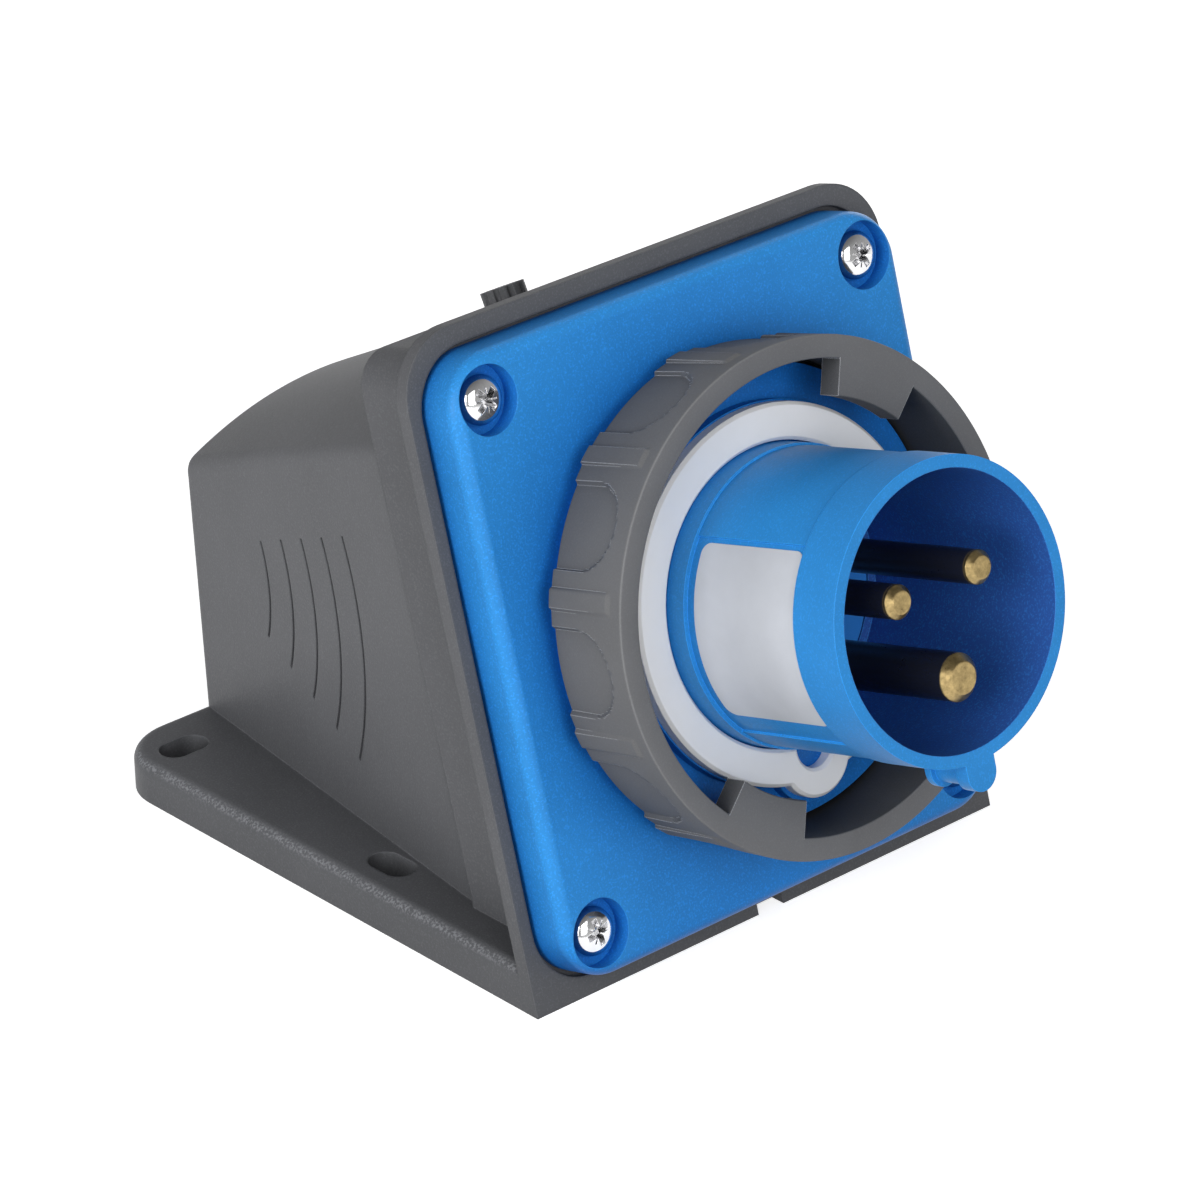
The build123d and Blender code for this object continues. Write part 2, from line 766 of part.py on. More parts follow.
# Insert that carries the pins
with BuildPart() as contact_carrier:
    with BuildSketch(inlet_plane.offset(tube_rear)):
        Circle(shroud_inner - carrier_clearance)
    extrude(amount=socket_floor - ledge_thickness - tube_rear)
    with BuildSketch(inlet_plane.offset(socket_floor - ledge_thickness)):
        Circle(shroud_inner - ledge_width - carrier_clearance)
    extrude(amount=ledge_thickness)
    with BuildSketch(inlet_plane.offset(tube_rear)):
        Circle(carrier_flange_radius)
        with Locations((-carrier_screw_x, 0), (carrier_screw_x, 0)):
            Circle(carrier_ear_radius)
    extrude(amount=-carrier_flange_thickness)
    for x, y, diameter, tip in contact_places.values():
        with BuildSketch(inlet_plane.offset(carrier_rear)):
            with Locations((x, y)):
                Circle(diameter / 2 + contact_shoulder + fit_gap / 2)
        extrude(amount=socket_floor - carrier_rear, mode=Mode.SUBTRACT)
    with BuildSketch(inlet_plane.offset(carrier_rear)):
        with Locations((-carrier_screw_x, 0), (carrier_screw_x, 0)):
            Circle(carrier_screw_diameter / 2 + fit_gap)
    extrude(amount=carrier_flange_thickness, mode=Mode.SUBTRACT)
contact_carrier.part.label = "contact_carrier"
export_step(contact_carrier.part, "parts/contact_carrier.step")

with BuildPart() as carrier_screws:
    with BuildSketch(inlet_plane.offset(carrier_rear)):
        with Locations((-carrier_screw_x, 0), (carrier_screw_x, 0)):
            Circle(carrier_screw_diameter / 2)
    extrude(amount=carrier_screw_length)
    with BuildSketch(inlet_plane.offset(carrier_rear)):
        with Locations((-carrier_screw_x, 0), (carrier_screw_x, 0)):
            Circle(carrier_screw_head / 2)
    extrude(amount=-carrier_screw_head / 3)
carrier_screws.part.label = "carrier_screws"
export_step(carrier_screws.part, "parts/carrier_screws.step")

# Bare curved label on its panel
with BuildPart() as rating_label:
    with BuildSketch(inlet_plane.offset(label_foot)):
        add(ring_sector(panel_radius, panel_radius + label_thickness, label_start, label_end))
    extrude(amount=label_front - label_foot)
    fillet(rating_label.edges().sort_by(SortBy.LENGTH)[:4], label_corner)
rating_label.part.label = "rating_label"
export_step(rating_label.part, "parts/rating_label.step")

# Pan head screws of the face plate
with BuildPart() as flange_screws:
    with BuildSketch(inlet_plane.offset(screw_seat)):
        with GridLocations(2 * screw_x, 2 * screw_y, 2, 2):
            Circle(screw_diameter / 2)
    extrude(amount=-screw_length)
    with BuildSketch(inlet_plane.offset(screw_seat)):
        with GridLocations(2 * screw_x, 2 * screw_y, 2, 2):
            Circle(screw_head_diameter / 2)
    extrude(amount=screw_head_height)
    chamfer(flange_screws.edges().group_by(inlet_axis)[-1], screw_head_bevel, screw_head_slope)
    with BuildSketch(inlet_plane.offset(screw_seat + screw_head_height)):
        with GridLocations(2 * screw_x, 2 * screw_y, 2, 2):
            Rectangle(cross_span, cross_width)
            Rectangle(cross_width, cross_span)
    extrude(amount=-cross_depth, mode=Mode.SUBTRACT)
flange_screws.part.label = "flange_screws"
export_step(flange_screws.part, "parts/flange_screws.step")

# Ribbed plug on the roof with its washer
with BuildPart() as roof_plug:
    with BuildSketch(plug_plane.offset(plug_boss_height + plug_seal_thickness)):
        Circle(plug_diameter / 2)
        with PolarLocations(plug_diameter / 2, plug_rib_count):
            Circle(plug_rib_depth, mode=Mode.SUBTRACT)
    extrude(amount=plug_head_height)
    with BuildSketch(plug_plane.offset(plug_boss_height + plug_seal_thickness)):
        Circle(plug_shank_diameter / 2)
    extrude(amount=-plug_shank_length)
roof_plug.part.label = "roof_plug"
export_step(roof_plug.part, "parts/roof_plug.step")

with BuildPart() as roof_plug_seal:
    with BuildSketch(plug_plane.offset(plug_boss_height)):
        Circle(plug_diameter / 2 + 2 * fit_gap)
        Circle(plug_shank_diameter / 2 + fit_gap, mode=Mode.SUBTRACT)
    extrude(amount=plug_seal_thickness)
roof_plug_seal.part.label = "roof_plug_seal"
export_step(roof_plug_seal.part, "parts/roof_plug_seal.step")

# Cable gland in the rear wall
spigot_start = gland_washer_thickness + gland_hex_thickness
nut_start = spigot_start + fit_gap
with BuildPart() as gland_body:
    with BuildSketch(gland_plane.offset(gland_washer_thickness)):
        Circle(gland_thread_diameter / 2)
    extrude(amount=-gland_thread_length - gland_washer_thickness)
    with BuildSketch(gland_plane.offset(gland_washer_thickness)):
        RegularPolygon(gland_hex / 2, 6, major_radius=False)
    extrude(amount=gland_hex_thickness)
    with BuildSketch(gland_plane.offset(spigot_start)):
        Circle(gland_spigot_diameter / 2)
    extrude(amount=gland_spigot_length)
    with BuildSketch(gland_plane.offset(-gland_thread_length)):
        Circle(gland_bore / 2)
    extrude(amount=gland_thread_length + spigot_start + gland_spigot_length, mode=Mode.SUBTRACT)
gland_body.part.label = "gland_body"
export_step(gland_body.part, "parts/gland_body.step")

with BuildPart() as gland_washer:
    with BuildSketch(gland_plane):
        Circle(gland_hex / 2)
        Circle(gland_thread_diameter / 2 + fit_gap, mode=Mode.SUBTRACT)
    extrude(amount=gland_washer_thickness)
gland_washer.part.label = "gland_washer"
export_step(gland_washer.part, "parts/gland_washer.step")

with BuildPart() as gland_locknut:
    with BuildSketch(gland_plane.offset(-wall)):
        RegularPolygon(locknut_hex / 2, 6, major_radius=False)
        Circle(gland_thread_diameter / 2 + fit_gap / 2, mode=Mode.SUBTRACT)
    extrude(amount=-locknut_thickness)
gland_locknut.part.label = "gland_locknut"
export_step(gland_locknut.part, "parts/gland_locknut.step")

with BuildPart() as gland_seal:
    with BuildSketch(gland_plane.offset(spigot_start)):
        Circle(gland_bore / 2 - fit_gap)
        Circle(gland_cable_bore / 2, mode=Mode.SUBTRACT)
    extrude(amount=gland_spigot_length + gland_nut_wall)
gland_seal.part.label = "gland_seal"
export_step(gland_seal.part, "parts/gland_seal.step")

nut_inner_radius = gland_spigot_diameter / 2 + fit_gap
nut_outer_radius = nut_inner_radius + gland_nut_wall
with BuildPart() as gland_nut:
    with BuildSketch(gland_plane.offset(nut_start)):
        Circle(nut_outer_radius)
        with PolarLocations(nut_outer_radius, 6):
            Rectangle(gland_nut_wall / 3, gland_nut_wall)
    extrude(amount=gland_nut_length)
    chamfer(gland_nut.faces().sort_by(Axis.Y)[-1].edges(), gland_nut_wall / 4)
    with BuildSketch(gland_plane.offset(nut_start)):
        Circle(nut_inner_radius)
    extrude(amount=gland_nut_length - gland_nut_wall, mode=Mode.SUBTRACT)
    with BuildSketch(gland_plane.offset(nut_start)):
        Circle(gland_nut_mouth / 2)
    extrude(amount=gland_nut_length, mode=Mode.SUBTRACT)
gland_nut.part.label = "gland_nut"
export_step(gland_nut.part, "parts/gland_nut.step")
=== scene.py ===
"""Looks of the angled wall inlet: plastics, brass pins, plated screws, bare foil label, white studio."""
from math import cos, hypot, pi, radians, sin

import bmesh
import bpy
from mathutils import Matrix, Vector


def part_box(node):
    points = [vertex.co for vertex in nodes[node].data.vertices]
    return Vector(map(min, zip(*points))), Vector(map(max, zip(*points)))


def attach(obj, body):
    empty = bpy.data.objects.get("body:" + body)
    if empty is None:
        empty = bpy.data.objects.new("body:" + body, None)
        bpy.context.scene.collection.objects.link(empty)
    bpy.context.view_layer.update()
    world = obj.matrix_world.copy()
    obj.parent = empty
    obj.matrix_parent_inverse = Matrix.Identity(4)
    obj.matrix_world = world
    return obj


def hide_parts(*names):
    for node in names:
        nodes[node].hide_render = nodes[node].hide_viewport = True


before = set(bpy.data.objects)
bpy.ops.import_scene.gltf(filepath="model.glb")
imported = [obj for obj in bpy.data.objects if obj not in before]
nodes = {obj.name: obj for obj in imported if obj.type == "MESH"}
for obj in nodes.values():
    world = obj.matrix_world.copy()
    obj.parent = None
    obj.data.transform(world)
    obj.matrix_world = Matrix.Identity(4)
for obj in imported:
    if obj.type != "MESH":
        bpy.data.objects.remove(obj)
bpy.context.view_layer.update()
MM = 0.001

# Geometry of the inclined face, as in the solids
FACE_TILT = radians(15.55)
AXIS_HEIGHT = 50.25 * MM
BASE_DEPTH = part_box("housing")[1].y * 2
UP_FACE = Vector((0, sin(FACE_TILT), cos(FACE_TILT)))
OUT_OF_FACE = Vector((0, -cos(FACE_TILT), sin(FACE_TILT)))
AXIS_FOOT = Vector((0, -BASE_DEPTH / 2, 0)) + UP_FACE * AXIS_HEIGHT
FACE_TURN = Matrix((Vector((1, 0, 0)), UP_FACE, OUT_OF_FACE)).transposed().to_4x4()
BASE_TOP = 6.9 * MM
EARTH_TIP = 52.0 * MM
LINE_TIP = 51.2 * MM
TIP_BEVEL = 1.1 * MM
SHROUD_INNER = 20.1 * MM
SCREW_SEAT = 3.3 * MM
SCREW_X = 36.5 * MM
SCREW_Y = 39.7 * MM

# Camera, fitted to the photograph's view
CAMERA_AZIMUTH = radians(-41.606)
CAMERA_ELEVATION = radians(26.617)
CAMERA_ROLL = radians(-1.113)
CAMERA_TARGET = Vector((-32.614 * MM, -BASE_DEPTH / 2, 62.42 * MM))
CAMERA_DISTANCE = 816.842 * MM
CAMERA_LENS = 175.616
CAMERA_SENSOR = 36.0
CAMERA_NEAR = 0.01
CAMERA_FAR = 50.0

# Linear colours
HOUSING_GREY = (0.121, 0.124, 0.133)
RING_GREY = (0.174, 0.176, 0.182)
GLAND_GREY = (0.110, 0.112, 0.118)
FLANGE_BLUE = (0.031, 0.280, 0.72)
# Painted shade: the darker navy put on the inside of the shroud's bore
SHROUD_PAINTED_SHADE = (0.030, 0.105, 0.40)
SEAL_WHITE = (0.97, 0.975, 0.985)
GASKET_BLACK = (0.02, 0.02, 0.022)
CARRIER_BLUE = (0.03, 0.22, 0.66)
PIN_BRASS = (0.42, 0.31, 0.14)
# Painted reflection: the near black of the pins' shafts, the dark bore mirrored in the brass
PAINTED_SHAFT_REFLECTION = (0.012, 0.014, 0.024)
PLATED = (0.86, 0.86, 0.87)
LABEL_FOIL = (0.74, 0.77, 0.83)
# Painted shade: the colours that recesses and gaps between parts are darkened toward, for the housing, ring
# and face plate
HOUSING_PAINTED_SHADE = (0.62, 0.62, 0.62)
RING_PAINTED_SHADE = (0.33, 0.33, 0.33)
FLANGE_PAINTED_SHADE = (0.3, 0.5, 0.7)
WHITE = (1.0, 1.0, 1.0)

# Floor: its colour to the camera and to reflections, what it throws back, and its own glow
FLOOR_WHITE = (0.9, 0.9, 0.9)
FLOOR_SHADE = (0.22, 0.22, 0.22)
FLOOR_GLOW = 0.68
FLOOR_HALF = 4.0

# Studio: lamps with their places in metres and watts, and the world's strength low down and overhead
LAMP_AIM = (0, -0.03, 0.05)
LAMP_SIZE = 0.8
LAMPS = (
    ("left_light", (-1.1, -0.35, 0.45), 9.5),
    ("front_light", (-0.3, -1.2, 0.55), 7.0),
    ("back_light", (1.3, 0.6, 0.42), 6.0),
)
WORLD_LOW = 0.48
WORLD_HIGH = 0.14
WORLD_SEEN = 1.0

# Sockets of the colour mix node
MIX_FIRST = 6
MIX_SECOND = 7
MIX_RESULT = 2

# Mottling and flecks of the mouldings, with painted highlights as glints and along edges, and painted shade
# in recesses and inside the bore
TINT_RANGE = (0.3, 0.7)
MOTTLE_NOISE = (60.0, 4.0, 0.55)
GRAIN_DETAIL = 2.0
GRAIN_ROUGHNESS = 0.6
GRAIN_STRENGTH = 0.6
GLOSS_SWING = 0.07
FLECK_FINER = 1.3
FLECK_RANGE = (0.52, 0.70)
FLECK_LIGHTER = 2.2
# Painted glints: their specks, how much lighter they are, and where on the plate's rounded edge they go
PAINTED_GLINT_RANGE = (0.45, 0.62)
PAINTED_GLINT_LIGHTER = 2.4
PAINTED_GLINT_RISE = (0.3, 0.6)
PAINTED_GLINT_FALL = (0.97, 0.8)
PAINTED_GLINT_TOP = 0.5 * MM
# Painted highlight along the edges: its width, the range it is mapped from, and how much lighter it is
EDGE_HIGHLIGHT_WIDTH = 0.2 * MM
EDGE_HIGHLIGHT_RANGE = (0.995, 0.90)
EDGE_HIGHLIGHT_LIGHTER = 2.6
# Painted shade in recesses: how far the occlusion reaches and the range it is mapped from
PAINTED_SHADE_REACH = 24 * MM
PAINTED_SHADE_RANGE = (0.3, 0.95)
# Painted shade inside the bore: the band just beyond its wall where it ends
BORE_START = 0.02 * MM
BORE_END = 0.1 * MM
EDGE_SAMPLES = 4
PAINTED_SHADE_SAMPLES = 4

# Simple finishes: noise is scale, detail and roughness, gloss the roughness from and to,
# relief the bump's distance, strength and rounding, and tint factors of the colour
METAL_NOISE = (900.0, 5.0, 0.6)
METAL_RANGE = (0.3, 0.75)
METAL_DARKER = 0.86
METAL_GLOSS = (0.04, 0.2)
METAL_RELIEF = (0.01 * MM, 0.3, 0.1 * MM)
PIN_NOISE = (900.0, 4.0, 0.65)
PIN_TINT = (0.6, 1.35)
PIN_GLOSS = (0.2, 0.42)
PIN_RELIEF = (0.03 * MM, 0.5, 0.35 * MM)
PIN_FADE = 1.3
RUBBER_NOISE = (140.0, 4.0, 0.6)
RUBBER_DARKER = 0.95
RUBBER_GLOSS = (-0.05, 0.08)
RUBBER_RELIEF = (0.02 * MM, 0.4, 0.2 * MM)
FOIL_METALLIC = 0.2
FOIL_NOISE = (90.0, 5.0, 0.6)
FOIL_TINT = (0.94, 1.04)
FOIL_GLOSS = (0.3, 0.46)
FOIL_RELIEF = (0.01 * MM, 0.4, 0.05 * MM)


def new_material(name):
    """Empty node material and its principled shader."""
    material = bpy.data.materials.new(name)
    material.use_nodes = True
    tree = material.node_tree
    tree.nodes.clear()
    shader = tree.nodes.new("ShaderNodeBsdfPrincipled")
    output = tree.nodes.new("ShaderNodeOutputMaterial")
    tree.links.new(shader.outputs["BSDF"], output.inputs["Surface"])
    return material, tree, shader


def add(tree, kind, **settings):
    """Shader node with its properties and socket values set."""
    node = tree.nodes.new(kind)
    for key, value in settings.items():
        if hasattr(node, key):
            setattr(node, key, value)
        else:
            node.inputs[key.replace("_", " ").title()].default_value = value
    return node


def noise(tree, scale, detail=3.0, roughness=0.5):
    """Noise in the row frame's metres, so that it stays put when the piece moves with its body."""
    place = add(tree, "ShaderNodeTexCoord")
    texture = add(tree, "ShaderNodeTexNoise", scale=scale, detail=detail, roughness=roughness)
    tree.links.new(place.outputs["Object"], texture.inputs["Vector"])
    return texture.outputs["Fac"]


def ramp(tree, fac, low, high, low_colour, high_colour):
    """Colour that goes from one to the other as fac goes from low to high."""
    node = add(tree, "ShaderNodeValToRGB")
    node.color_ramp.elements[0].position = low
    node.color_ramp.elements[1].position = high
    node.color_ramp.elements[0].color = (*low_colour, 1)
    node.color_ramp.elements[1].color = (*high_colour, 1)
    tree.links.new(fac, node.inputs["Fac"])
    return node.outputs["Color"]


def scaled(colour, factor):
    """The colour made lighter or darker."""
    return tuple(channel * factor for channel in colour)


def span(tree, fac, low, high):
    """Number that goes from low to high as fac goes from 0 to 1."""
    node = add(tree, "ShaderNodeMapRange")
    node.inputs["To Min"].default_value = low
    node.inputs["To Max"].default_value = high
    tree.links.new(fac, node.inputs["Value"])
    return node.outputs["Result"]


def bump(tree, height, distance, strength, rounding):
    """Bump over softened edges."""
    edge = add(tree, "ShaderNodeBevel", samples=EDGE_SAMPLES)
    edge.inputs["Radius"].default_value = rounding
    node = add(tree, "ShaderNodeBump")
    node.inputs["Distance"].default_value = distance
    node.inputs["Strength"].default_value = strength
    tree.links.new(height, node.inputs["Height"])
    tree.links.new(edge.outputs["Normal"], node.inputs["Normal"])
    return node.outputs["Normal"]


def along(tree, direction, origin):
    """Distance of the shaded point from an origin along a direction, in the row frame."""
    place = add(tree, "ShaderNodeTexCoord")
    away = add(tree, "ShaderNodeVectorMath", operation="SUBTRACT")
    away.inputs[1].default_value = origin
    distance = add(tree, "ShaderNodeVectorMath", operation="DOT_PRODUCT")
    distance.inputs[1].default_value = direction
    tree.links.new(place.outputs["Object"], away.inputs[0])
    tree.links.new(away.outputs["Vector"], distance.inputs[0])
    return distance.outputs["Value"]


def step(tree, value, low, high):
    """Number that rises from 0 to 1 as a value goes from low to high."""
    node = add(tree, "ShaderNodeMapRange")
    node.inputs["From Min"].default_value = low
    node.inputs["From Max"].default_value = high
    tree.links.new(value, node.inputs["Value"])
    return node.outputs["Result"]


def mixed(tree, fac, first, second):
    """Colour socket that goes from the first to the second."""
    node = add(tree, "ShaderNodeMix", data_type="RGBA")
    tree.links.new(fac, node.inputs["Factor"])
    for socket, value in ((node.inputs[MIX_FIRST], first), (node.inputs[MIX_SECOND], second)):
        if isinstance(value, tuple):
            socket.default_value = (*value, 1)
        else:
            tree.links.new(value, socket)
    return node.outputs[MIX_RESULT]


def edges(tree, width):
    """Number that rises from 0 on the flats to 1 along the edges, where a painted highlight goes."""
    soft = add(tree, "ShaderNodeBevel", samples=EDGE_SAMPLES)
    soft.inputs["Radius"].default_value = width
    true = add(tree, "ShaderNodeNewGeometry")
    likeness = add(tree, "ShaderNodeVectorMath", operation="DOT_PRODUCT")
    tree.links.new(soft.outputs["Normal"], likeness.inputs[0])
    tree.links.new(true.outputs["Normal"], likeness.inputs[1])
    return step(tree, likeness.outputs["Value"], *EDGE_HIGHLIGHT_RANGE)


def painted_shade_openness(tree, reach):
    """Number that falls from 1 in the open to 0 in tight recesses, where painted shade goes into the colour.
    """
    node = add(tree, "ShaderNodeAmbientOcclusion", samples=PAINTED_SHADE_SAMPLES)
    node.inputs["Distance"].default_value = reach
    return step(tree, node.outputs["AO"], *PAINTED_SHADE_RANGE)


def off_axis(tree):
    """Distance of the shaded point from the inlet's axis."""
    place = add(tree, "ShaderNodeTexCoord")
    away = add(tree, "ShaderNodeVectorMath", operation="SUBTRACT")
    away.inputs[1].default_value = AXIS_FOOT
    side = add(tree, "ShaderNodeVectorMath", operation="CROSS_PRODUCT")
    side.inputs[1].default_value = OUT_OF_FACE
    length = add(tree, "ShaderNodeVectorMath", operation="LENGTH")
    tree.links.new(place.outputs["Object"], away.inputs[0])
    tree.links.new(away.outputs["Vector"], side.inputs[0])
    tree.links.new(side.outputs["Vector"], length.inputs[0])
    return length.outputs["Value"]


def product(tree, first, second):
    """Product of two numbers."""
    node = add(tree, "ShaderNodeMath", operation="MULTIPLY")
    tree.links.new(first, node.inputs[0])
    tree.links.new(second, node.inputs[1])
    return node.outputs["Value"]


def plate_round(tree):
    """Number that is 1 on the rounded upper edge of the wall plate, where painted glints are put on its
    grain.
    """
    facing = add(tree, "ShaderNodeNewGeometry")
    lean = add(tree, "ShaderNodeSeparateXYZ")
    tree.links.new(facing.outputs["Normal"], lean.inputs[0])
    level = along(tree, (0.0, 0.0, 1.0), (0.0, 0.0, 0.0))
    rise = step(tree, lean.outputs["Z"], *PAINTED_GLINT_RISE)
    fall = step(tree, lean.outputs["Z"], *PAINTED_GLINT_FALL)
    low = step(tree, level, BASE_TOP + PAINTED_GLINT_TOP, BASE_TOP)
    return product(tree, product(tree, rise, fall), low)


def multiplied(tree, first, second):
    """Product of two colours."""
    node = add(tree, "ShaderNodeMix", data_type="RGBA", blend_type="MULTIPLY")
    node.inputs["Factor"].default_value = 1.0
    tree.links.new(first, node.inputs[MIX_FIRST])
    tree.links.new(second, node.inputs[MIX_SECOND])
    return node.outputs[MIX_RESULT]


def moulded(name, colour, grain, depth, roughness, rounding=0.25 * MM, mottle=0.07, fleck=0.0,
            edge_highlight=0.0, gloss=0.2, painted_bore_shade=None, painted_recess_shade=None, painted_glint=0.0):
    """Moulded plastic: fine grain with light flecks, faint mottling and uneven gloss, with painted shade
    inside the bore and in recesses, painted glints and painted highlights along the edges.
    """
    material, tree, shader = new_material(name)
    fine = noise(tree, grain, GRAIN_DETAIL, GRAIN_ROUGHNESS)
    broad = noise(tree, *MOTTLE_NOISE)
    tint = ramp(tree, broad, *TINT_RANGE, scaled(colour, 1 - mottle), scaled(colour, 1 + mottle))
    # Painted shade: inside the bore the colour turns a darker navy
    if painted_bore_shade:
        outside = step(tree, off_axis(tree), SHROUD_INNER + BORE_START, SHROUD_INNER + BORE_END)
        tint = mixed(tree, outside, painted_bore_shade, tint)
    if fleck:
        flecks = step(tree, noise(tree, grain * FLECK_FINER, 1.0), *FLECK_RANGE)
        tint = mixed(tree, span(tree, flecks, 0.0, fleck), tint, scaled(colour, FLECK_LIGHTER))
    # Painted highlight: light specks put on the wall plate's rounded upper edge
    if painted_glint:
        specks = step(tree, noise(tree, grain, 1.0), *PAINTED_GLINT_RANGE)
        painted_glints = product(tree, specks, plate_round(tree))
        tint = mixed(tree, span(tree, painted_glints, 0.0, painted_glint), tint, scaled(colour, PAINTED_GLINT_LIGHTER))
    # Painted shade: the colour is darkened in recesses and in gaps between parts, where shade falls
    if painted_recess_shade:
        tint = multiplied(tree, tint, mixed(tree, painted_shade_openness(tree, PAINTED_SHADE_REACH), painted_recess_shade, WHITE))
    # Painted highlight: the colour is lightened along the edges
    if edge_highlight:
        painted_edge_light = span(tree, edges(tree, EDGE_HIGHLIGHT_WIDTH), 0.0, edge_highlight)
        tint = mixed(tree, painted_edge_light, tint, scaled(colour, EDGE_HIGHLIGHT_LIGHTER))
    shader.inputs["Specular IOR Level"].default_value = gloss
    tree.links.new(tint, shader.inputs["Base Color"])
    uneven = span(tree, fine, roughness - GLOSS_SWING, roughness + GLOSS_SWING)
    tree.links.new(uneven, shader.inputs["Roughness"])
    tree.links.new(bump(tree, fine, depth, GRAIN_STRENGTH, rounding), shader.inputs["Normal"])
    return material


def finish(tree, shader, pattern, tint, gloss, relief):
    """Colour, roughness and bump of a simple material, each from the same noise pattern."""
    tree.links.new(ramp(tree, pattern, *tint), shader.inputs["Base Color"])
    tree.links.new(span(tree, pattern, *gloss), shader.inputs["Roughness"])
    tree.links.new(bump(tree, pattern, *relief), shader.inputs["Normal"])


def metal(name, colour):
    """Bright plated metal with faint uneven polish."""
    material, tree, shader = new_material(name)
    shader.inputs["Metallic"].default_value = 1.0
    tint = (*METAL_RANGE, scaled(colour, METAL_DARKER), colour)
    finish(tree, shader, noise(tree, *METAL_NOISE), tint, METAL_GLOSS, METAL_RELIEF)
    return material


def pin_brass(name, tip):
    """Bright turned brass end; behind it the shaft is painted a dull near black, a painted reflection of the
    dark bore.
    """
    material, tree, shader = new_material(name)
    uneven = noise(tree, *PIN_NOISE)
    darker, lighter = PIN_TINT
    bright = ramp(tree, uneven, *TINT_RANGE, scaled(PIN_BRASS, darker), scaled(PIN_BRASS, lighter))
    forward = along(tree, OUT_OF_FACE, AXIS_FOOT)
    # Painted reflection: behind the end's bevel the pin is painted a non-metal near black
    end = step(tree, forward, tip - PIN_FADE * TIP_BEVEL, tip - TIP_BEVEL)
    tree.links.new(end, shader.inputs["Metallic"])
    tree.links.new(mixed(tree, end, PAINTED_SHAFT_REFLECTION, bright), shader.inputs["Base Color"])
    tree.links.new(span(tree, uneven, *PIN_GLOSS), shader.inputs["Roughness"])
    tree.links.new(bump(tree, uneven, *PIN_RELIEF), shader.inputs["Normal"])
    return material


def rubber(name, colour, roughness):
    """Smooth moulded rubber with a dusty bloom."""
    material, tree, shader = new_material(name)
    tint = (*TINT_RANGE, scaled(colour, RUBBER_DARKER), colour)
    gloss = [roughness + change for change in RUBBER_GLOSS]
    finish(tree, shader, noise(tree, *RUBBER_NOISE), tint, gloss, RUBBER_RELIEF)
    return material


def foil(name, colour):
    """Satin printed foil, left bare."""
    material, tree, shader = new_material(name)
    shader.inputs["Metallic"].default_value = FOIL_METALLIC
    darker, lighter = FOIL_TINT
    tint = (*TINT_RANGE, scaled(colour, darker), scaled(colour, lighter))
    finish(tree, shader, noise(tree, *FOIL_NOISE), tint, FOIL_GLOSS, FOIL_RELIEF)
    return material


# Housing: painted shade in recesses, painted highlights along the edges and painted glints on the wall
# plate's rounded edge
housing_plastic = moulded(
    "housing_plastic", HOUSING_GREY, grain=2600.0, depth=0.08 * MM, roughness=0.46, rounding=0.5 * MM,
    mottle=0.05, fleck=0.2, edge_highlight=0.3, painted_recess_shade=HOUSING_PAINTED_SHADE, painted_glint=0.75,
)
# Ring: painted shade in recesses and painted highlights along the edges
ring_plastic = moulded(
    "ring_plastic", RING_GREY, grain=3200.0, depth=0.03 * MM, roughness=0.6, rounding=0.12 * MM,
    mottle=0.06, fleck=0.08, edge_highlight=1.0, gloss=0.12, painted_recess_shade=RING_PAINTED_SHADE,
)
gland_plastic = moulded("gland_plastic", GLAND_GREY, grain=3000.0, depth=0.03 * MM, roughness=0.45)
# Face plate: painted shade in recesses and painted highlights along the edges
flange_plastic = moulded(
    "flange_plastic", FLANGE_BLUE, grain=2400.0, depth=0.09 * MM, roughness=0.42,
    fleck=0.22, edge_highlight=0.2, painted_recess_shade=FLANGE_PAINTED_SHADE,
)
# Shroud: painted shade inside the bore and painted highlights along the edges
shroud_plastic = moulded(
    "shroud_plastic", FLANGE_BLUE, grain=2400.0, depth=0.06 * MM, roughness=0.4,
    fleck=0.14, edge_highlight=0.4, painted_bore_shade=SHROUD_PAINTED_SHADE,
)
carrier_plastic = moulded("carrier_plastic", CARRIER_BLUE, grain=2000.0, depth=0.03 * MM, roughness=0.5)
seal_rubber = rubber("seal_rubber", SEAL_WHITE, roughness=0.45)
gasket_rubber = rubber("gasket_rubber", GASKET_BLACK, roughness=0.6)
earth_metal = pin_brass("earth_metal", EARTH_TIP)
line_metal = pin_brass("line_metal", LINE_TIP)
plated_metal = metal("plated_metal", PLATED)
label_foil = foil("label_foil", LABEL_FOIL)

FINISHES = {
    "housing": housing_plastic,
    "inlet_flange": flange_plastic,
    "shroud": shroud_plastic,
    "face_gasket": seal_rubber,
    "flange_gasket": gasket_rubber,
    "bayonet_ring": ring_plastic,
    "earth_pin": earth_metal,
    "line_pin": line_metal,
    "neutral_pin": line_metal,
    "terminal_screws": plated_metal,
    "contact_carrier": carrier_plastic,
    "carrier_screws": plated_metal,
    "rating_label": label_foil,
    "flange_screws": plated_metal,
    "roof_plug": housing_plastic,
    "roof_plug_seal": gasket_rubber,
    "gland_body": gland_plastic,
    "gland_washer": gasket_rubber,
    "gland_locknut": gland_plastic,
    "gland_seal": gasket_rubber,
    "gland_nut": gland_plastic,
}
for name, material in FINISHES.items():
    nodes[name].data.materials.clear()
    nodes[name].data.materials.append(material)


